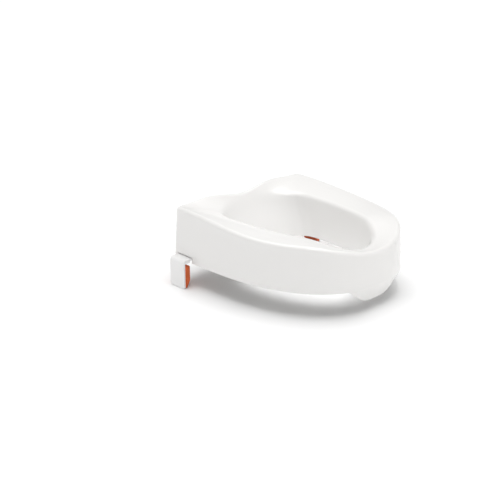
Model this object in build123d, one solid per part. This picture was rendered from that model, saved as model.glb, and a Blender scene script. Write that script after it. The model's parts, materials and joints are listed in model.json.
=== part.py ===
from build123d import *
from math import acos, atan2, cos, degrees, hypot, pi, radians, sin, tan
import os

# Raised toilet seat, 10 cm high, held by a sliding clamp bracket on each side.
# Millimetres, +Z up, the front of the seat towards -Y. The origin is the middle of the
# plan outline, on the plane of the bowl's rim. Pieces in pairs are made on the +X side.

# ---- driving dimensions: seat -------------------------------------------------------
seat_width = 370.0          # across the skirt's lower edge
front_reach = 195.0         # origin to the front of the skirt
rear_reach = 192.5          # origin to the rear of the skirt beside its corners
rear_bow = 2.5              # the rear edge bulges this much more at its middle
widest_y = 75.0             # where the skirt is widest
rear_taper = 2.8            # each side comes in by this much towards the rear
front_power = 2.4           # superellipse power of the front outline
corner_power = 20.0         # the same for the squarer rear outline
skirt_gap = 1.5             # skirt's lower edge above the rim plane
draft = 3.3                 # degrees that the skirt leans inwards going up
wall = 3.6
edge_radius = 8.0           # outer top edge
crest_round = 9.0           # how far the rounding of the opening's edge reaches

front_height = 91.5         # outer top edge at the front quarters
rise_to_rear = 15.5         # how much higher it is at the rear corners
front_dip = 22.5            # depth of the dip at the front centre
front_dip_angle = 56.0      # degrees that the dip spans, either side of the front
rear_dip = 8.5              # depth of the dip at the middle of the rear edge
rear_hump = 3.5             # rise on each side of the rear dip
hump_x = 105.0
crest_height = 89.0         # inner edge of the seating surface

# The opening's level sections: height, half-width, y where widest, front y, rear y.
opening = [
    (89.0, 110.0, 90.0, -160.0, 170.0),
    (62.0, 106.5, 80.0, -149.0, 153.0),
    (34.0, 102.0, 66.0, -138.0, 131.0),
    (6.0, 96.0, 50.0, -128.0, 115.0),
]
opening_front_power = 2.2
opening_rear_power = 2.5

lip_top_half = 75.0         # front lip, half-width where it leaves the skirt
lip_bottom_half = 33.0
lip_depth = 31.0
lip_inset = 11.5            # its lower edge stands this much further in
lip_corner = 8.0
lip_thickness = 3.0
lip_radius = 174.0          # in plan, close to the skirt's own curve
lip_step = 0.4              # it starts this far inside the skirt's face

rib_thickness = 2.6
rib_bottom = 20.0
rib_turns = (8, 25.3, 60, 90, 120, 154.7, 172, 198, 225, 257, 283, 315, 342)
hollow_foot = -10.0         # the hollow is open below
deck_bottom = 43.0
deck_thickness = 3.0
frame_gap = 0.8             # clearance between the underframe and the shell
post_columns = (3, 7, 10, 13)
post_radius = 7.0
post_gap = 4.0
rim_pads = [(112.0, -112.0), (152.0, 72.0)]
pad_boss_radius = 11.5

# ---- driving dimensions: clamp brackets ----------------------------------------------
bracket_y = 158.0           # middle of each bracket
bracket_width = 42.0
jaw_outer = 204.0           # outer face of the jaw from the centre plane
jaw_wall = 4.0
jaw_bottom = -49.5
jaw_top_round = 8.0
jaw_rear_round = 8.0        # lower rear corner of the jaw
jaw_front_round = 3.0
arm_top = 11.0
arm_thickness = 3.6
arm_inner = 117.0           # inner end of the arm from the centre plane
arm_gap = 0.4               # play at each side of the arm
flange_inner = 186.8        # side flanges that stiffen the corner of arm and jaw
flange_bottom = 3.0
flange_thickness = 3.0
slide_in = 14.0             # travel towards the centre, to grip a narrower bowl
slide_out = 10.0
slide_gap = 0.3             # play above and below sliding faces

grip_thickness = 13.5       # soft pad between jaw and bowl
grip_top = -3.0
grip_bottom = -48.5
grip_chamfer_x = 8.0
grip_chamfer_z = 14.0
grip_groove_depth = 1.0
peg_radius = 3.0
peg_length = 2.0

stud_x = 138.0              # clamp stud from the centre plane
stud_radius = 3.0
stud_top = 26.0
stud_clearance = 0.05
stud_head_flats = 10.0
stud_head_height = 2.8
washer_radius = 9.0
washer_thickness = 1.2
wheel_radius = 17.0
wheel_height = 5.0
wheel_dish = 1.2
wheel_scallops = 9
insert_radius = 4.6
insert_length = 11.0
insert_recess = 0.4
boss_radius = 9.0

keeper_inner = 157.5        # plate that carries the arm, from the centre plane
keeper_outer = 172.0
keeper_thickness = 2.5
keeper_end_gap = 1.5        # the plate ends this much short of the rear guide
keeper_spots = [(164.5, 131.7), (147.0, 182.8)]
screw_radius = 1.6
screw_length = 10.0
screw_head_radius = 3.3
screw_head_height = 2.3
screw_boss_radius = 3.1
screw_boss_top = 22.0

guide_inner = 112.0         # walls beside the arm, from the centre plane
guide_front_outer = 172.0
guide_rear_outer = 150.0    # shorter, to stay clear of the skirt's corner
window_inner = 155.0
window_front = 135.0        # window in the skirt for the arm
window_rear = 181.0
window_top = 12.7

rim_pad_radius = 10.0
rim_pad_height = 4.0
rim_pad_stem = 5.5
rim_pad_stem_length = 9.0

columns = 22                # points along half of each outline
turn_weight = 30.0          # a radian of turning counts as this much length between them

half_width = seat_width / 2
arm_bottom = arm_top - arm_thickness
washer_bottom = arm_bottom - washer_thickness
wheel_bottom = washer_bottom - wheel_height
keeper_top = arm_bottom - slide_gap
keeper_bottom = keeper_top - keeper_thickness
guide_y = bracket_width / 2 + arm_gap
parts = {}


# ---- helpers ------------------------------------------------------------------------
def smooth(t):
    """Rises from 0 to 1 with level ends."""
    t = min(max(t, 0.0), 1.0)
    return t * t * (3 - 2 * t)


def mix(a, b, share):
    """The point at a share of the way from a to b."""
    return tuple(p + (q - p) * share for p, q in zip(a, b))


def box(x0, x1, y0, y1, z0, z1):
    """A block from its limits along each axis."""
    return Pos((x0 + x1) / 2, (y0 + y1) / 2, (z0 + z1) / 2) * Box(x1 - x0, y1 - y0, z1 - z0)


def rod(x, y, z0, z1, radius):
    """An upright cylinder between two heights."""
    return Pos(x, y, (z0 + z1) / 2) * Cylinder(radius, z1 - z0)


def keep(name, shape):
    """Store a node: one solid, or a group of separate ones."""
    solids = shape.solids()
    parts[name] = solids[0] if len(solids) == 1 else Compound(children=list(solids))


def keep_pair(name, shape):
    """Store the piece made on the +X side and its mirror image."""
    keep("right_" + name, shape)
    keep("left_" + name, mirror(shape, about=Plane.YZ))


# ---- seat shell: plan outlines -------------------------------------------------------
def evenly(points, count):
    """Resample a line of plan points at equal steps, which are shorter where the line turns."""
    reached = [0.0]
    heading = 0.0
    for a, b in zip(points, points[1:]):
        before, heading = heading, atan2(b[1] - a[1], b[0] - a[0])
        step = hypot(b[0] - a[0], b[1] - a[1]) + turn_weight * abs(heading - before)
        reached.append(reached[-1] + step)
    result = []
    spot = 0
    for k in range(count + 1):
        target = reached[-1] * k / count
        while spot < len(points) - 2 and reached[spot + 1] < target:
            spot += 1
        share = (target - reached[spot]) / (reached[spot + 1] - reached[spot])
        result.append(mix(points[spot], points[spot + 1], share))
    return result


def half_outline(half_x, middle_y, front_y, rear_y, powers, taper=0.0, bow=0.0):
    """Right half of a plan outline from front to rear: two quarter superellipses."""
    steps = 180
    points = []
    for k in range(-steps, steps + 1):
        turn = k / steps * pi / 2
        reach, power = (middle_y - front_y, powers[0]) if k < 0 else (rear_y - middle_y, powers[1])
        out = max(cos(turn), 0.0) ** (2 / power)
        along = abs(sin(turn)) ** (2 / power)
        if k < 0:
            points.append((half_x * out, middle_y - reach * along))
        else:
            x = (half_x - taper * along**2) * out
            points.append((x, middle_y + reach * along + bow * (1 - out**2) * along))
    points[0] = (0.0, points[0][1])
    points[-1] = (0.0, points[-1][1])
    return evenly(points, columns)


def skirt_half(inset):
    """Right half of the skirt's outline, moved in by inset."""
    return half_outline(half_width - inset, widest_y, inset - front_reach, rear_reach - inset,
                        (front_power, corner_power), rear_taper, rear_bow)


def opening_half(section, growth):
    """Right half of one section of the opening, grown by growth."""
    height, half_x, middle_y, front_y, rear_y = section
    return half_outline(half_x + growth, middle_y, front_y - growth, rear_y + growth,
                        (opening_front_power, opening_rear_power))


def ring(points):
    """A closed smooth wire through the right half's points and their mirror images."""
    left = [(-x, y, z) for x, y, z in reversed(points[1:-1])]
    return Wire([Spline(*points, *left, periodic=True)])


def level_ring(half, z):
    """The same for plan points that all lie at one height."""
    return ring([(x, y, z) for x, y in half])


# ---- seat shell: heights ---------------------------------------------------------------
def front_dip_at(x, y):
    """Depth of the front dip in the direction of a plan point."""
    turn = degrees(atan2(abs(x), -(y + 20)))
    return front_dip * (1 - smooth(turn / front_dip_angle))


def edge_height(x, y):
    """Height of the outer top edge above a point of the skirt."""
    side = front_height + rise_to_rear * smooth((y + 70) / 265)
    middle = -rear_dip * (1 - smooth(abs(x) / 80))
    hump = rear_hump * (1 - smooth(abs(abs(x) - hump_x) / 60))
    return side - front_dip_at(x, y) + (middle + hump) * smooth((y - 110) / 80)


def inner_height(x, y):
    """Height of the seating surface where it meets the opening."""
    return crest_height - 1.1 * front_dip_at(x, y)


def profile(base, sections, offset, foot, throat, fine):
    """One upright section of the skin, from the skirt's foot over the seat and down the opening.

    base is the plan point of the skirt's foot and sections are the plan points of the
    opening in the same column, one for each height in opening. fine rounds its edges."""
    heights = [section[0] for section in opening]

    def opening_at(z):
        z = min(max(z, heights[-1]), heights[0])
        k = next(k for k in range(len(heights) - 1) if z >= heights[k + 1])
        return mix(sections[k], sections[k + 1], (heights[k] - z) / (heights[k] - heights[k + 1]))

    top = edge_height(*base) - offset
    low = inner_height(*sections[0]) - offset
    crest = opening_at(low)
    span = hypot(crest[0] - base[0], crest[1] - base[1])

    def place(inward, z):
        return (*mix(base, crest, inward / span), z)

    # the rounded edge: an arc from the skirt to where a line from the crest touches it
    radius = edge_radius - offset / 2
    middle = (top - radius - skirt_gap) * tan(radians(draft)) + radius
    across, down = span - middle, low - (top - radius)
    reach = hypot(across, down)
    turn = pi - atan2(down, across) - acos(radius / reach)
    arc_steps = 3 if fine else 1
    points = [place(0.0, foot)]
    for k in range(arc_steps + 1):
        a = turn * k / arc_steps
        points.append(place(middle - radius * cos(a), top - radius + radius * sin(a)))
    # the seating surface, slightly crowned, then the rounded crest and the opening's wall
    corner = (*crest, low)
    run = max(reach, 1.0)
    soft = min(crest_round, 0.4 * run)
    start = mix(points[-1], corner, 1 - soft / run)
    end = (*opening_at(low - soft), low - soft)
    if fine:
        x, y, z = mix(points[-1], start, 0.5)
        points.append((x, y, z + 0.6 * smooth((run - 25) / 40)))
    points.append(start)
    if fine:
        points.append(tuple((a + 2 * b + c) / 4 for a, b, c in zip(start, corner, end)))
    points.append(end)
    for share in (0.45, 1.0) if fine else (1.0,):
        z = end[2] + (throat - end[2]) * share
        points.append((*opening_at(z), z))
    return points


def skin(offset, foot, throat, fine=False):
    """The solid under a skin that lies offset inside the outer surface."""
    base = skirt_half(offset)
    tube = [opening_half(section, offset) for section in opening]
    profiles = [profile(base[k], [half[k] for half in tube], offset, foot, throat, fine)
                for k in range(columns + 1)]
    return Solid.make_loft([ring(list(points)) for points in zip(*profiles)], ruled=True)


# ---- seat shell: the rest ----------------------------------------------------------------
def front_lip():
    """The lip that hangs in front of the bowl, leaning in from the skirt's lower edge."""
    bottom = skirt_gap - lip_depth
    centre_y = lip_radius - front_reach + lip_step

    def cone(inset):
        body = Cone(lip_radius - inset - lip_inset, lip_radius - inset, lip_depth)
        return Pos(0, centre_y, (skirt_gap + bottom) / 2) * body

    def drum(inset):
        return Pos(0, centre_y, skirt_gap + 2) * Cylinder(lip_radius - inset, 6)

    shape = Polyline((-lip_top_half, skirt_gap), (-lip_bottom_half, bottom),
                     (lip_bottom_half, bottom), (lip_top_half, skirt_gap), close=True)
    face = make_face(Plane.XZ * shape)
    face = fillet(face.vertices().group_by(Axis.Z)[0], lip_corner)
    lip = (cone(0.0) - cone(lip_thickness)) & extrude(face, front_reach + 20)
    root = box(5 - lip_top_half, lip_top_half - 5, -front_reach - 5, -120, skirt_gap - 1, skirt_gap + 5)
    return lip + ((drum(0.5) - drum(lip_thickness - 0.5)) & root)


def seat_shell():
    """The one-piece moulded seat: skirt, seating surface, opening and front lip."""
    throat = opening[-1][0]
    body = skin(0.0, skirt_gap, throat, fine=True)
    body -= Solid.make_loft([level_ring(opening_half(opening[-1], 0.0), z) for z in (0, throat)])
    body -= skin(wall, hollow_foot, hollow_foot + 1)
    body += front_lip()
    for side in (-1, 1):
        x0, x1 = sorted((side * window_inner, side * (half_width + 15)))
        body -= box(x0, x1, window_front, window_rear, 0, window_top)
    return body


# ---- underframe --------------------------------------------------------------------------
def hollow_columns():
    """The upright sections of the hollow under the seat, with the underframe's clearance."""
    inset = wall + frame_gap
    base = skirt_half(inset)
    tube = [opening_half(section, inset) for section in opening]
    return [profile(base[k], [half[k] for half in tube], inset, hollow_foot, hollow_foot + 1, False)
            for k in range(columns + 1)]


def level_plan(profiles, first, z):
    """Right half plan points where profile lines from point first to the next cross height z."""
    half = []
    for points in profiles:
        a, b = points[first], points[first + 1]
        half.append(mix(a, b, (z - a[2]) / (b[2] - a[2]))[:2])
    return half


def deck_outline(z0, z1, inset=0.0):
    """A level slab that fills the hollow under the seat between its walls."""
    profiles = hollow_columns()
    outer = level_plan(profiles, 0, z1)
    inner = level_plan(profiles, -2, z1)
    slabs = []
    for half in (outer, inner):
        face = make_face(level_ring(half, z0).edges())
        slabs.append(extrude(face, z1 - z0, dir=(0, 0, 1)))
    return slabs[0] - slabs[1]


def underframe():
    """The moulded frame in the hollow: a deck on four feet that carries guides and bosses."""
    frame = deck_outline(deck_bottom, deck_bottom + deck_thickness)
    ribs = None
    for turn in rib_turns:
        rib = Rot(0, 0, turn) * box(60, 240, -rib_thickness / 2, rib_thickness / 2, rib_bottom, deck_bottom)
        ribs = rib if ribs is None else ribs + rib
    frame += ribs & deck_outline(rib_bottom, deck_bottom)
    profiles = hollow_columns()
    for side in (-1, 1):
        for x, y in rim_pads:
            frame += rod(side * x, y, rim_pad_height, deck_bottom, pad_boss_radius)
        for column in post_columns:
            x, y, z = mix(profiles[column][2], profiles[column][3], 0.5)
            frame += rod(side * x, y, deck_bottom, z - post_gap, post_radius)
        for outer, y in ((guide_front_outer, bracket_y - guide_y - rib_thickness),
                         (guide_rear_outer, bracket_y + guide_y)):
            x0, x1 = sorted((side * guide_inner, side * outer))
            frame += box(x0, x1, y, y + rib_thickness, keeper_top, deck_bottom)
        frame += rod(side * stud_x, bracket_y, arm_top, deck_bottom, boss_radius)
        x = side * stud_x - rib_thickness / 2
        frame += box(x, x + rib_thickness, bracket_y - guide_y - 1, bracket_y + guide_y + 1,
                     arm_top + slide_gap, deck_bottom)
        for x, y in keeper_spots:
            frame += rod(side * x, y, keeper_top, screw_boss_top, screw_boss_radius)
    for side in (-1, 1):
        hole_top = arm_top + insert_recess + insert_length
        frame -= rod(side * stud_x, bracket_y, 0, hole_top, insert_radius)
        frame -= rod(side * stud_x, bracket_y, 0, stud_top + 6, stud_radius + 0.4)
        for x, y in rim_pads:
            frame -= rod(side * x, y, 0, rim_pad_height + rim_pad_stem_length + 0.5, rim_pad_stem)
        for x, y in keeper_spots:
            frame -= rod(side * x, y, 0, keeper_bottom + screw_length + 1, screw_radius)
    return frame


# ---- pieces fixed to the seat ------------------------------------------------------------
def rim_pad(x, y):
    """A rubber foot whose stem is pushed into a boss."""
    foot = fillet(rod(x, y, 0, rim_pad_height, rim_pad_radius).edges().group_by(Axis.Z)[0], 0.8)
    return foot + rod(x, y, rim_pad_height, rim_pad_height + rim_pad_stem_length, rim_pad_stem)


def threaded_insert():
    """The brass nut that the clamp stud screws into."""
    z0 = arm_top + insert_recess
    body = rod(stud_x, bracket_y, z0, z0 + insert_length, insert_radius)
    groove = rod(stud_x, bracket_y, z0 + 4.5, z0 + 6.5, insert_radius + 1)
    groove -= rod(stud_x, bracket_y, z0 + 4.5, z0 + 6.5, insert_radius - 0.8)
    return body - groove - rod(stud_x, bracket_y, z0, z0 + insert_length, stud_radius + stud_clearance)


def keeper_plate():
    """The plate under the arm, with an ear for a screw at each end."""
    y0, y1 = bracket_y - guide_y, bracket_y + guide_y
    plate = box(keeper_inner, keeper_outer, y0 - rib_thickness, y1 - keeper_end_gap,
                keeper_bottom, keeper_top)
    front, rear = keeper_spots
    radius = screw_boss_radius
    plate += rod(*front, keeper_bottom, keeper_top, radius)
    plate += box(front[0] - radius, front[0] + radius, front[1], y0, keeper_bottom, keeper_top)
    plate += rod(*rear, keeper_bottom, keeper_top, radius)
    plate += box(rear[0], keeper_inner + 3, y1 - keeper_end_gap - 4, rear[1] + radius,
                 keeper_bottom, keeper_top)
    for x, y in keeper_spots:
        plate -= rod(x, y, keeper_bottom, keeper_top, screw_radius + 0.3)
    return plate


def keeper_screws():
    """Two pan-head screws up into the seat's bosses."""
    screws = []
    for x, y in keeper_spots:
        head = rod(x, y, keeper_bottom - screw_head_height, keeper_bottom, screw_head_radius)
        head = fillet(head.edges().group_by(Axis.Z)[0], 1.2)
        for turn in (0, 90):
            head -= Pos(x, y, keeper_bottom - screw_head_height) * Rot(0, 0, turn) * Box(3.6, 0.8, 2.4)
        screws.append(head + rod(x, y, keeper_bottom, keeper_bottom + screw_length, screw_radius))
    return Compound(children=screws)


# ---- the sliding bracket -------------------------------------------------------------------
def bracket():
    """The jaw and its slotted arm in one moulding."""
    y0, y1 = bracket_y - bracket_width / 2, bracket_y + bracket_width / 2
    jaw_inner = jaw_outer - jaw_wall
    jaw = box(jaw_inner, jaw_outer, y0, y1, jaw_bottom, arm_top)
    low_edges = jaw.edges().filter_by(Axis.X).group_by(Axis.Z)[0].sort_by(Axis.Y)
    jaw = fillet(low_edges[0], jaw_front_round)
    low_edges = jaw.edges().filter_by(Axis.X).sort_by(Axis.Y)
    jaw = fillet([e for e in low_edges if e.center().Z < 0][-1], jaw_rear_round)
    arm = box(arm_inner, jaw_inner, y0, y1, arm_bottom, arm_top)
    arm = fillet(arm.edges().filter_by(Axis.Z).group_by(Axis.X)[0], 5)
    body = jaw + arm
    for y in (y0, y1 - flange_thickness):
        flange = box(flange_inner, jaw_inner, y, y + flange_thickness, flange_bottom, arm_bottom)
        body += fillet(flange.edges().filter_by(Axis.Y).group_by(Axis.Z)[0].sort_by(Axis.X)[0], 2.0)
    outer = body.edges().filter_by(Axis.Y).group_by(Axis.Z)[-1].sort_by(Axis.X)[-1]
    body = fillet(outer, jaw_top_round)
    rim = [e for e in body.faces().sort_by(Axis.X)[-1].edges()]
    body = fillet(rim, 0.8)
    slot = box(stud_x - slide_out, stud_x + slide_in, bracket_y - stud_radius - 0.4,
               bracket_y + stud_radius + 0.4, arm_bottom - 1, arm_top + 1)
    for x in (stud_x - slide_out, stud_x + slide_in):
        slot += rod(x, bracket_y, arm_bottom - 1, arm_top + 1, stud_radius + 0.4)
    body -= slot
    for z in (-15, -38):
        hole = Pos(jaw_inner + peg_length / 2, bracket_y, z) * Rot(0, 90, 0)
        body -= hole * Cylinder(peg_radius, peg_length)
    return body


def grip_pad():
    """The soft pad on the jaw: its lower inner edge is cut back so that it rides over the rim."""
    jaw_inner = jaw_outer - jaw_wall
    face_x = jaw_inner - grip_thickness
    outline = Polyline(
        (jaw_inner, grip_top), (face_x, grip_top), (face_x, grip_bottom + grip_chamfer_z),
        (face_x + grip_chamfer_x, grip_bottom), (jaw_inner, grip_bottom), close=True)
    face = make_face(Plane.XZ * outline)
    softened = [v for v in face.vertices() if v.X < jaw_inner - 1]
    face = fillet(softened, 2.0)
    y1 = bracket_y + bracket_width / 2 - 0.5
    pad = Pos(0, y1, 0) * extrude(face, bracket_width - 1.0)
    pad = fillet(pad.edges().filter_by(Axis.Z).group_by(Axis.X)[0], 1.5)
    for k in range(-3, 4):
        y = bracket_y + 5.0 * k
        pad -= box(face_x - 1, face_x + grip_groove_depth, y - 0.8, y + 0.8, grip_bottom - 1, grip_top + 1)
    for z in (-15, -38):
        peg = Pos(jaw_inner + peg_length / 2, bracket_y, z) * Rot(0, 90, 0)
        pad += peg * Cylinder(peg_radius, peg_length)
    return pad


# ---- the clamp screw -------------------------------------------------------------------------
def clamp_washer():
    """The plain washer between the arm and the thumb wheel."""
    washer = rod(stud_x, bracket_y, washer_bottom, arm_bottom, washer_radius)
    return washer - rod(stud_x, bracket_y, washer_bottom, arm_bottom, stud_radius + 0.3)


def stud_head(growth):
    """The stud's hexagonal head, which sits in the wheel."""
    z0 = wheel_bottom + wheel_dish
    plan = RegularPolygon(stud_head_flats / 2 + growth, 6, major_radius=False)
    return Pos(stud_x, bracket_y, z0) * extrude(plan, stud_head_height)


def clamp_stud():
    """The steel screw in the middle of the thumb wheel."""
    z0 = wheel_bottom + wheel_dish + stud_head_height
    shank = rod(stud_x, bracket_y, z0, stud_top, stud_radius)
    shank = chamfer(shank.edges().group_by(Axis.Z)[-1], 0.8)
    return stud_head(0.0) + shank


def thumb_wheel():
    """The flat scalloped wheel that tightens the clamp by hand."""
    wheel = rod(stud_x, bracket_y, wheel_bottom, washer_bottom, wheel_radius)
    for k in range(wheel_scallops):
        turn = 2 * pi * k / wheel_scallops
        x = stud_x + (wheel_radius + 2.6) * cos(turn)
        y = bracket_y + (wheel_radius + 2.6) * sin(turn)
        wheel -= rod(x, y, wheel_bottom, washer_bottom, 4.6)
    wheel = chamfer(wheel.edges().group_by(Axis.Z)[0], 0.8)
    dish = rod(stud_x, bracket_y, wheel_bottom, wheel_bottom + wheel_dish, 11.5)
    wheel -= dish
    wheel -= stud_head(0.0)
    return wheel - rod(stud_x, bracket_y, wheel_bottom, washer_bottom, stud_radius)


# ---- all the nodes ---------------------------------------------------------------------------
keep("seat_shell", seat_shell())
keep("underframe", underframe())
for place, (x, y) in zip(("front", "rear"), rim_pads):
    keep(place + "_right_rim_pad", rim_pad(x, y))
    keep(place + "_left_rim_pad", rim_pad(-x, y))
keep_pair("threaded_insert", threaded_insert())
keep_pair("keeper_plate", keeper_plate())
keep_pair("keeper_screws", keeper_screws())
keep_pair("bracket", bracket())
keep_pair("grip_pad", grip_pad())
keep_pair("clamp_washer", clamp_washer())
keep_pair("clamp_stud", clamp_stud())
keep_pair("thumb_wheel", thumb_wheel())

os.makedirs("parts", exist_ok=True)
for name, shape in parts.items():
    export_step(shape, f"parts/{name}.step")
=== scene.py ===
import json
from math import acos, atan2, cos, degrees, hypot, pi, radians, sin, tan

import bmesh
import bpy
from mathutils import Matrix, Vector


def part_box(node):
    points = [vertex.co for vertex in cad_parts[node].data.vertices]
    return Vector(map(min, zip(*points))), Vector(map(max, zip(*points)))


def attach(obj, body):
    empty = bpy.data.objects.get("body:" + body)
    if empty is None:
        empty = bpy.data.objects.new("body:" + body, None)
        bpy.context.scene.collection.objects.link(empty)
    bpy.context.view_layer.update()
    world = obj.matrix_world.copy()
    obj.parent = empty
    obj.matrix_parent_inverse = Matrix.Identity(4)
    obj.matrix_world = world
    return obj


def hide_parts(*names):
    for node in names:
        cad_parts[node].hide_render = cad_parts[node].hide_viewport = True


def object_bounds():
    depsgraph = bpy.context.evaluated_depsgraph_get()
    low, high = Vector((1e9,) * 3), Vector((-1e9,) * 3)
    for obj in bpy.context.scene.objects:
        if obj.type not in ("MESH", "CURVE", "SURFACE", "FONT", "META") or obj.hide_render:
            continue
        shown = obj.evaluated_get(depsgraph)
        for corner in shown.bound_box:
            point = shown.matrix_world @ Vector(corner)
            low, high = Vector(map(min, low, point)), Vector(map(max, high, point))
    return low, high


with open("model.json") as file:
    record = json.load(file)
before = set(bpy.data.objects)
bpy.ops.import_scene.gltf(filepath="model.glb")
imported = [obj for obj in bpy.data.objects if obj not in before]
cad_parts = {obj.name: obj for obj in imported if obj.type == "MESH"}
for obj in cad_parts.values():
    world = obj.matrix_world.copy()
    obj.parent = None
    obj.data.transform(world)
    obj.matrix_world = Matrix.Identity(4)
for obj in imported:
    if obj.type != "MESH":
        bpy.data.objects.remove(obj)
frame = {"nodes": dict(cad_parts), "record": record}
cad_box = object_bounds()

# Raised toilet seat. Blender works in metres; the seat's shape is worked out in
# millimetres, as in the CAD source, and scaled once when a mesh is made.
MM = 0.001

# ---- driving dimensions, from the frame where it has them ----------------------------
shell_low, shell_high = [[v / MM for v in corner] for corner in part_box("seat_shell")]
half_width = shell_high[0]
front_reach = -shell_low[1]
rear_bow = 2.5
rear_reach = shell_high[1] - rear_bow
widest_y = 75.0
rear_taper = 2.8
front_power = 2.4
corner_power = 50.0
skirt_gap = 1.5
draft = 3.3
wall = 3.6
edge_radius = 8.0
crest_round = 10.0

front_height = 91.5
rise_to_rear = 15.5
front_dip = 22.5
front_dip_angle = 56.0
rear_dip = 7.0
rear_hump = 3.5
hump_x = 105.0
crest_height = 89.0
seat_crown = 1.2            # the seating surface bulges this much where it is broad

# The opening's level sections: height, half-width, y where widest, front y, rear y.
opening = [
    (89.0, 110.0, 90.0, -160.0, 170.0),
    (62.0, 106.5, 80.0, -149.0, 153.0),
    (34.0, 102.0, 66.0, -138.0, 131.0),
    (6.0, 96.0, 50.0, -128.0, 115.0),
]
opening_front_power = 2.2
opening_rear_power = 2.5

lip_half_width = 75.0
lip_flat_half = 33.0
lip_depth = 31.0
lip_inset = 11.5
lip_thickness = 3.0
lip_rows = 5

window_front = 135.0
window_rear = 181.0
window_top = 12.7

columns = 72                # quads along half of the outline
arc_steps = 5               # quads over the rounded outer edge
window_row = 3              # the row of the skin that runs along the window's top
moulded_crease = 0.75       # how sharp the skins' own edges stay, from 0 to 1
window_crease = 0.8
lip_root_crease = 0.85
lip_edge_crease = 0.7
turn_weight = 30.0          # a radian of turning counts as this much length between them


# ---- helpers ------------------------------------------------------------------------
def smooth(t):
    """Rises from 0 to 1 with level ends."""
    t = min(max(t, 0.0), 1.0)
    return t * t * (3 - 2 * t)


def soft_min(a, b, blend):
    """The smaller of two numbers, rounded where they meet."""
    h = max(blend - abs(a - b), 0.0) / blend
    return min(a, b) - h * h * blend / 4


def mix(a, b, share):
    """The point at a share of the way from a to b."""
    return tuple(p + (q - p) * share for p, q in zip(a, b))


# ---- seat shell: plan outlines -------------------------------------------------------
class Line:
    """A plan line that can be asked for the point at any share of its length."""

    def __init__(self, points):
        self.points = points
        self.reached = [0.0]
        heading = 0.0
        for a, b in zip(points, points[1:]):
            before, heading = heading, atan2(b[1] - a[1], b[0] - a[0])
            step = hypot(b[0] - a[0], b[1] - a[1]) + turn_weight * abs(heading - before)
            self.reached.append(self.reached[-1] + step)

    def at(self, share):
        target = self.reached[-1] * share
        low, high = 0, len(self.points) - 1
        while high - low > 1:
            middle = (low + high) // 2
            if self.reached[middle] <= target:
                low = middle
            else:
                high = middle
        step = self.reached[high] - self.reached[low]
        return mix(self.points[low], self.points[high], (target - self.reached[low]) / step)

    def share_where(self, axis, value):
        """The share of the length at which a rising coordinate reaches value."""
        low, high = 0.0, 1.0
        for _ in range(40):
            middle = (low + high) / 2
            if self.at(middle)[axis] < value:
                low = middle
            else:
                high = middle
        return (low + high) / 2


def half_outline(half_x, middle_y, front_y, rear_y, powers, taper=0.0, bow=0.0):
    """Right half of a plan outline from front to rear: two quarter superellipses."""
    steps = 360
    points = []
    for k in range(-steps, steps + 1):
        turn = abs(k) / steps * pi / 2
        reach, power = (middle_y - front_y, powers[0]) if k < 0 else (rear_y - middle_y, powers[1])
        radius = (cos(turn) ** power + sin(turn) ** power) ** (-1 / power)
        out, along = radius * cos(turn), radius * sin(turn)
        if k < 0:
            points.append((half_x * out, middle_y - reach * along))
        else:
            x = (half_x - taper * along**2) * out
            points.append((x, middle_y + reach * along + bow * (1 - out**2) * along))
    points[0] = (0.0, points[0][1])
    points[-1] = (0.0, points[-1][1])
    return Line(points)


def skirt_line(inset):
    """Right half of the skirt's outline, moved in by inset."""
    return half_outline(half_width - inset, widest_y, inset - front_reach, rear_reach - inset,
                        (front_power, corner_power), rear_taper, rear_bow)


def opening_line(section, growth):
    """Right half of one section of the opening, grown by growth."""
    half_x, middle_y, front_y, rear_y = section[1:]
    return half_outline(half_x + growth, middle_y, front_y - growth, rear_y + growth,
                        (opening_front_power, opening_rear_power))


# ---- seat shell: heights ---------------------------------------------------------------
def front_dip_at(x, y):
    """Depth of the front dip in the direction of a plan point."""
    turn = degrees(atan2(abs(x), -(y + 20)))
    return front_dip * (1 - smooth(turn / front_dip_angle))


def edge_height(x, y):
    """Height of the outer top edge above a point of the skirt."""
    side = front_height + rise_to_rear * smooth((y + 70) / 265)
    middle = -rear_dip * (1 - smooth(abs(x) / 80))
    hump = rear_hump * (1 - smooth(abs(abs(x) - hump_x) / 60))
    return side - front_dip_at(x, y) + (middle + hump) * smooth((y - 110) / 80)


def inner_height(x, y):
    """Height of the seating surface where it meets the opening."""
    return crest_height - 1.1 * front_dip_at(x, y)


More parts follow.
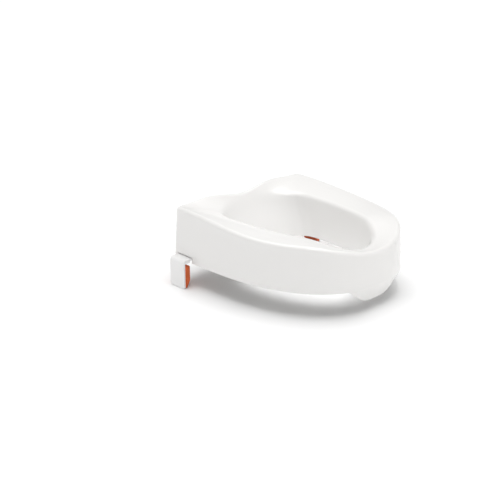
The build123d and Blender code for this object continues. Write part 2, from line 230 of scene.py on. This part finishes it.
def profile(base, sections, offset):
    """The upright section of one skin in a column: lists of 3-D points.

    base is the skirt's plan point and sections are the opening's plan points."""
    heights = [section[0] for section in opening]

    def opening_at(z):
        z = min(max(z, heights[-1]), heights[0])
        k = next(k for k in range(len(heights) - 1) if z >= heights[k + 1])
        return mix(sections[k], sections[k + 1], (heights[k] - z) / (heights[k] - heights[k + 1]))

    top = edge_height(*base) - offset
    low = inner_height(*sections[0]) - offset
    crest = opening_at(low)
    span = hypot(crest[0] - base[0], crest[1] - base[1])

    def place(inward, z):
        return (*mix(base, crest, inward / span), z)

    radius = edge_radius - offset / 2
    lean = tan(radians(draft))
    middle = (top - radius - skirt_gap) * lean + radius
    across, down = span - middle, low - (top - radius)
    reach = hypot(across, down)
    turn = pi - atan2(down, across) - acos(radius / reach)

    start_z = top - radius
    # the skirt, with the window's top at window_row, then the rounded outer edge
    skirt = [skirt_gap, skirt_gap + 2.0, window_top - 1.2, window_top]
    skirt += [window_top + (start_z - window_top) * share for share in (0.12, 0.5, 0.88)]
    points = [place((z - skirt_gap) * lean, z) for z in skirt]
    for k in range(arc_steps + 1):
        a = turn * k / arc_steps
        points.append(place(middle - radius * cos(a), start_z + radius * sin(a)))
    # the seating surface, the rounded crest and the opening's wall
    corner = (*crest, low)
    run = max(reach, 1.0)
    soft = min(crest_round, 0.42 * run)
    start = mix(points[-1], corner, 1 - soft / run)
    end = (*opening_at(low - soft), low - soft)
    last = points[-1]
    for share in (0.25, 0.5, 0.75, 1.0):
        x, y, z = mix(last, start, share)
        crown = seat_crown * smooth((run - 25) / 40) * 4 * share * (1 - share)
        points.append((x, y, z + crown))
    for share in (0.25, 0.5, 0.75):
        a = mix(start, corner, share)
        b = mix(corner, end, share)
        points.append(mix(a, b, share))
    points.append(end)
    throat = opening[-1][0]
    for share in (0.2, 0.45, 0.7, 0.92, 1.0):
        z = end[2] + (throat - end[2]) * share
        points.append((*opening_at(z), z))
    return points


# ---- seat shell: mesh --------------------------------------------------------------------
def clean(mesh):
    """Drop points that no face uses and turn every face outwards."""
    work = bmesh.new()
    work.from_mesh(mesh)
    bmesh.ops.delete(work, geom=[v for v in work.verts if not v.link_faces], context="VERTS")
    bmesh.ops.recalc_face_normals(work, faces=work.faces)
    work.to_mesh(mesh)
    work.free()


def column_shares(outline):
    """Where the columns stand along the outline, with some at the window's and lip's ends."""
    shares = [k / columns for k in range(columns + 1)]
    marks = [outline.share_where(0, lip_half_width)]
    marks += [outline.share_where(1, y) for y in (window_front, window_rear)]
    for mark in marks:
        nearest = min(range(len(shares)), key=lambda k: abs(shares[k] - mark))
        shares[nearest] = mark
    return shares, [min(range(len(shares)), key=lambda k: abs(shares[k] - mark)) for mark in marks]


def lip_depth_at(x):
    """How far the front lip hangs below the skirt."""
    ramp = (lip_half_width - abs(x)) / (lip_half_width - lip_flat_half)
    return lip_depth * soft_min(ramp, 1.0, 0.3)


class Cage:
    """A closed grid of columns round the outline by rows round the moulding's section."""

    def __init__(self, loops, skin_rows):
        self.rows = len(loops[0])
        self.skin_rows = skin_rows
        self.count = 2 * columns
        self.verts = []
        self.faces = []
        self.creases = {}
        ring = [(k, 1) for k in range(columns + 1)]
        ring += [(k, -1) for k in range(columns - 1, 0, -1)]
        for k, side in ring:
            self.verts += [(side * x, y, z) for x, y, z in loops[k]]

    def vert(self, column, row):
        """The number of the point at a column and row, counted round and round."""
        return (column % self.count) * self.rows + row % self.rows

    def crease(self, a, b, weight):
        """Keep the edge between two points sharp under subdivision."""
        self.creases[tuple(sorted((a, b)))] = weight

    def mesh(self, name):
        """The cage as a Blender mesh."""
        mesh = bpy.data.meshes.new(name)
        mesh.from_pydata([tuple(v * MM for v in p) for p in self.verts], [], self.faces)
        mesh.validate()
        layer = mesh.attributes.new("crease_edge", "FLOAT", "EDGE")
        for edge in mesh.edges:
            layer.data[edge.index].value = self.creases.get(tuple(sorted(edge.vertices)), 0.0)
        clean(mesh)
        return mesh


def add_skins(cage, in_window, in_lip):
    """The outer and inner skins, open at the windows and where the lip joins."""
    vert = cage.vert
    last = cage.rows - 1
    for c in range(cage.count):
        for r in range(cage.rows):
            cut = c in in_window and (r < window_row or r >= last - window_row)
            if cut or (r == last and c in in_lip):
                continue
            cage.faces.append((vert(c, r), vert(c, r + 1), vert(c + 1, r + 1), vert(c + 1, r)))
        for r in (0, last, cage.skin_rows - 1, cage.skin_rows):
            cage.crease(vert(c, r), vert(c + 1, r), moulded_crease)


def add_window(cage, first, last):
    """The sides and top of one window in the skirt, which join the two skins."""
    vert = cage.vert
    foot = cage.rows - 1
    top = foot - window_row
    for c, flip in ((first, 1), (last, -1)):
        for r in range(window_row):
            face = (vert(c, r), vert(c, r + 1), vert(c, foot - 1 - r), vert(c, foot - r))
            cage.faces.append(face[::flip])
            cage.crease(vert(c, r), vert(c, r + 1), window_crease)
            cage.crease(vert(c, foot - 1 - r), vert(c, foot - r), window_crease)
        cage.crease(vert(c, 0), vert(c, foot), window_crease)
    for c in range(first, last):
        face = (vert(c, top), vert(c + 1, top), vert(c + 1, window_row), vert(c, window_row))
        cage.faces.append(face)
        cage.crease(vert(c, window_row), vert(c + 1, window_row), window_crease)
        cage.crease(vert(c, top), vert(c + 1, top), window_crease)
    for c in (first, last):
        cage.crease(vert(c, window_row), vert(c, top), window_crease)


def lip_strip(cage, outer, inner):
    """The points of one column of the lip: down the outside, under, and up the inside."""
    x, y, z = cage.verts[outer]
    x1, y1 = cage.verts[inner][:2]
    away = Vector((x1 - x, y1 - y)).normalized()
    falls = [lip_depth_at(x) * k / lip_rows for k in range(1, lip_rows + 1)]
    sides = [(fall, 0.0) for fall in falls] + [(fall, lip_thickness) for fall in falls[::-1]]
    strip = [outer]
    for fall, depth in sides:
        inward = lip_inset * fall / lip_depth + depth
        cage.verts.append((x + away.x * inward, y + away.y * inward, z - fall))
        strip.append(len(cage.verts) - 1)
    return strip + [inner]


def add_lip(cage, lip_columns):
    """The front lip, which runs out to nothing at its two ends."""
    strips = []
    for c in lip_columns:
        outer, inner = cage.vert(c, 0), cage.vert(c, cage.rows - 1)
        if abs(cage.verts[outer][0]) > lip_half_width - 0.5:
            strips.append([outer] * (lip_rows + 1) + [inner] * (lip_rows + 1))
        else:
            strips.append(lip_strip(cage, outer, inner))
    for left, right in zip(strips, strips[1:]):
        for k in range(len(left) - 1):
            around = (left[k], right[k], right[k + 1], left[k + 1])
            face = tuple(dict.fromkeys(around))
            if len(face) > 2:
                cage.faces.append(face)
            if k in (0, lip_rows, lip_rows + 1) and left[k] != right[k]:
                cage.crease(left[k], right[k], lip_root_crease if k == 0 else lip_edge_crease)


def seat_shell_mesh():
    """The hollow moulded seat: both skins, a window on each side and the front lip."""
    shares, (lip_end, window_a, window_b) = column_shares(skirt_line(0.0))
    skins = []
    for inset in (0.0, wall):
        base = skirt_line(inset)
        tube = [opening_line(section, inset) for section in opening]
        skins.append([profile(base.at(s), [line.at(s) for line in tube], inset) for s in shares])
    loops = [outer + inner[::-1] for outer, inner in zip(*skins)]
    cage = Cage(loops, len(skins[0][0]))

    windows = ((window_a, window_b), (cage.count - window_b, cage.count - window_a))
    in_window = {c for first, last in windows for c in range(first, last)}
    lip_columns = [c % cage.count for c in range(-lip_end, lip_end + 1)]
    add_skins(cage, in_window, set(lip_columns[:-1]))
    for first, last in windows:
        add_window(cage, first, last)
    add_lip(cage, lip_columns)
    return cage.mesh("seat_moulding")


def add_object(name, mesh):
    """A new object in the scene, smooth shaded."""
    obj = bpy.data.objects.new(name, mesh)
    bpy.context.scene.collection.objects.link(obj)
    for polygon in mesh.polygons:
        polygon.use_smooth = True
    return obj


def subdivide(obj, levels):
    """Catmull-Clark subdivision of a cage."""
    modifier = obj.modifiers.new("subdivision", "SUBSURF")
    modifier.levels = levels
    modifier.render_levels = levels
    return obj


# ---- materials -------------------------------------------------------------------------
def plastic(name, colour, roughness, grain, grain_scale, coat=0.0, mottle=0.004):
    """Moulded plastic: a fine surface grain, faint mottling and uneven gloss."""
    material = bpy.data.materials.new(name)
    material.use_nodes = True
    nodes, links = material.node_tree.nodes, material.node_tree.links
    shader = nodes["Principled BSDF"]
    shader.inputs["Coat Weight"].default_value = coat
    shader.inputs["Coat Roughness"].default_value = 0.12
    shader.inputs["IOR"].default_value = 1.49
    place = nodes.new("ShaderNodeTexCoord")
    cloud = nodes.new("ShaderNodeTexNoise")
    cloud.inputs["Scale"].default_value = 9.0
    cloud.inputs["Detail"].default_value = 1.0
    links.new(place.outputs["Object"], cloud.inputs["Vector"])
    tint = nodes.new("ShaderNodeValToRGB")
    tint.color_ramp.elements[0].position = 0.2
    tint.color_ramp.elements[1].position = 0.8
    tint.color_ramp.elements[0].color = (*[c * (1 - mottle) for c in colour], 1)
    tint.color_ramp.elements[1].color = (*[min(c * (1 + mottle), 1.0) for c in colour], 1)
    links.new(cloud.outputs["Fac"], tint.inputs["Fac"])
    links.new(tint.outputs["Color"], shader.inputs["Base Color"])
    gloss = nodes.new("ShaderNodeMapRange")
    gloss.inputs["From Min"].default_value = 0.3
    gloss.inputs["From Max"].default_value = 0.7
    gloss.inputs["To Min"].default_value = roughness * 0.95
    gloss.inputs["To Max"].default_value = roughness * 1.05
    links.new(cloud.outputs["Fac"], gloss.inputs["Value"])
    links.new(gloss.outputs["Result"], shader.inputs["Roughness"])
    peel = nodes.new("ShaderNodeTexNoise")
    peel.inputs["Scale"].default_value = grain_scale
    peel.inputs["Detail"].default_value = 2.0
    links.new(place.outputs["Object"], peel.inputs["Vector"])
    bump = nodes.new("ShaderNodeBump")
    bump.inputs["Strength"].default_value = grain
    bump.inputs["Distance"].default_value = 0.0003
    links.new(peel.outputs["Fac"], bump.inputs["Height"])
    links.new(bump.outputs["Normal"], shader.inputs["Normal"])
    return material


def metal(name, colour, roughness, ring_scale):
    """Turned metal with fine machining marks."""
    material = bpy.data.materials.new(name)
    material.use_nodes = True
    nodes, links = material.node_tree.nodes, material.node_tree.links
    shader = nodes["Principled BSDF"]
    shader.inputs["Metallic"].default_value = 1.0
    place = nodes.new("ShaderNodeTexCoord")
    marks = nodes.new("ShaderNodeTexNoise")
    marks.inputs["Scale"].default_value = ring_scale
    marks.inputs["Detail"].default_value = 5.0
    links.new(place.outputs["Object"], marks.inputs["Vector"])
    tint = nodes.new("ShaderNodeValToRGB")
    tint.color_ramp.elements[0].color = (*[c * 0.85 for c in colour], 1)
    tint.color_ramp.elements[1].color = (*colour, 1)
    links.new(marks.outputs["Fac"], tint.inputs["Fac"])
    links.new(tint.outputs["Color"], shader.inputs["Base Color"])
    gloss = nodes.new("ShaderNodeMapRange")
    gloss.inputs["To Min"].default_value = roughness * 0.7
    gloss.inputs["To Max"].default_value = roughness * 1.4
    links.new(marks.outputs["Fac"], gloss.inputs["Value"])
    links.new(gloss.outputs["Result"], shader.inputs["Roughness"])
    bump = nodes.new("ShaderNodeBump")
    bump.inputs["Strength"].default_value = 0.15
    bump.inputs["Distance"].default_value = 0.0001
    links.new(marks.outputs["Fac"], bump.inputs["Height"])
    links.new(bump.outputs["Normal"], shader.inputs["Normal"])
    return material


finishes = {
    "seat_plastic": plastic("seat_white", (0.865, 0.855, 0.84), 0.24, 0.05, 900.0, coat=0.35),
    "bracket_plastic": plastic("bracket_white", (0.89, 0.885, 0.88), 0.3, 0.08, 1500.0, coat=0.15),
    "frame_plastic": plastic("frame_white", (0.72, 0.72, 0.70), 0.5, 0.25, 1800.0),
    "wheel_plastic": plastic("wheel_grey", (0.33, 0.34, 0.34), 0.45, 0.3, 2200.0),
    "grip_rubber": plastic("grip_orange", (0.68, 0.12, 0.025), 0.5, 0.3, 2500.0, mottle=0.08),
    "rim_rubber": plastic("rim_rubber_grey", (0.55, 0.55, 0.54), 0.7, 0.3, 2500.0),
    "steel": metal("turned_steel", (0.62, 0.62, 0.63), 0.3, 1200.0),
    "brass": metal("turned_brass", (0.80, 0.58, 0.25), 0.3, 1200.0),
}
slots = {part["node"]: part["material_slot"] for part in frame["record"]["subparts"]}
for name, node in frame["nodes"].items():
    node.data.materials.clear()
    node.data.materials.append(finishes[slots[name]])


# ---- the seat ----------------------------------------------------------------------------
seat = add_object("seat_moulding", seat_shell_mesh())
subdivide(seat, 2)
seat.data.materials.append(finishes["seat_plastic"])
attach(seat, "seat")
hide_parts("seat_shell")


# ---- camera, floor and light -------------------------------------------------------------
def camera():
    """The photograph's viewpoint: from the front left, looking down a little."""
    data = bpy.data.cameras.new("camera")
    data.sensor_width = 36.0
    data.lens = 69.54
    obj = bpy.data.objects.new("camera", data)
    obj.location = (-1.35385, -1.23492, 0.6985)
    obj.rotation_euler = (radians(90 - 20.39), 0, radians(-44.19))
    bpy.context.scene.collection.objects.link(obj)
    bpy.context.scene.camera = obj


def floor():
    """A plain white floor just under the lowest point, wide enough to fill the picture."""
    size = 40.0
    z = cad_box[0][2] - 0.0005
    mesh = bpy.data.meshes.new("floor")
    corners = [(-size, -size, z), (size, -size, z), (size, size, z), (-size, size, z)]
    mesh.from_pydata(corners, [], [(0, 1, 2, 3)])
    obj = bpy.data.objects.new("floor", mesh)
    bpy.context.scene.collection.objects.link(obj)
    material = bpy.data.materials.new("floor")
    material.use_nodes = True
    shader = material.node_tree.nodes["Principled BSDF"]
    shader.inputs["Base Color"].default_value = (0.95, 0.95, 0.95, 1)
    shader.inputs["Roughness"].default_value = 0.9
    shader.inputs["Specular IOR Level"].default_value = 0.1
    mesh.materials.append(material)


def sun(name, azimuth, elevation, strength, width):
    """A broad distant light from a compass direction, with 0 along +X."""
    data = bpy.data.lights.new(name, "SUN")
    data.energy = strength
    data.angle = radians(width)
    obj = bpy.data.objects.new(name, data)
    a, e = radians(azimuth), radians(elevation)
    obj.rotation_euler = Vector((cos(a) * cos(e), sin(a) * cos(e), sin(e))).to_track_quat("Z", "Y").to_euler()
    bpy.context.scene.collection.objects.link(obj)


def fill(name, place, target, size, power):
    """A weak panel close to the seat, out of the camera's sight."""
    data = bpy.data.lights.new(name, "AREA")
    data.size = size
    data.energy = power
    obj = bpy.data.objects.new(name, data)
    obj.location = place
    obj.rotation_euler = (Vector(target) - Vector(place)).to_track_quat("-Z", "Y").to_euler()
    obj.visible_camera = False
    obj.visible_glossy = False
    bpy.context.scene.collection.objects.link(obj)


def surroundings():
    """A white world that is brightest at the horizon, where it meets the floor."""
    world = bpy.data.worlds.new("studio")
    world.use_nodes = True
    nodes, links = world.node_tree.nodes, world.node_tree.links
    direction = nodes.new("ShaderNodeTexCoord")
    split = nodes.new("ShaderNodeSeparateXYZ")
    links.new(direction.outputs["Generated"], split.inputs["Vector"])
    fade = nodes.new("ShaderNodeMapRange")
    fade.inputs["From Min"].default_value = 0.05
    fade.inputs["From Max"].default_value = 0.10
    fade.inputs["To Min"].default_value = 1.0
    fade.inputs["To Max"].default_value = 0.48
    links.new(split.outputs["Z"], fade.inputs["Value"])
    nodes["Background"].inputs["Color"].default_value = (1, 1, 1, 1)
    links.new(fade.outputs["Result"], nodes["Background"].inputs["Strength"])
    bpy.context.scene.world = world
    bpy.context.scene.view_settings.view_transform = "Standard"


camera()
floor()
fill("opening_fill", (-0.08, 0.02, 0.22), (0.12, 0.03, 0.03), 0.2, 0.05)
sun("top_light", 60, 84, 1.74, 60)
sun("front_light", -65, 25, 0.24, 60)
sun("key_light", -135, 70, 0.26, 9)
surroundings()
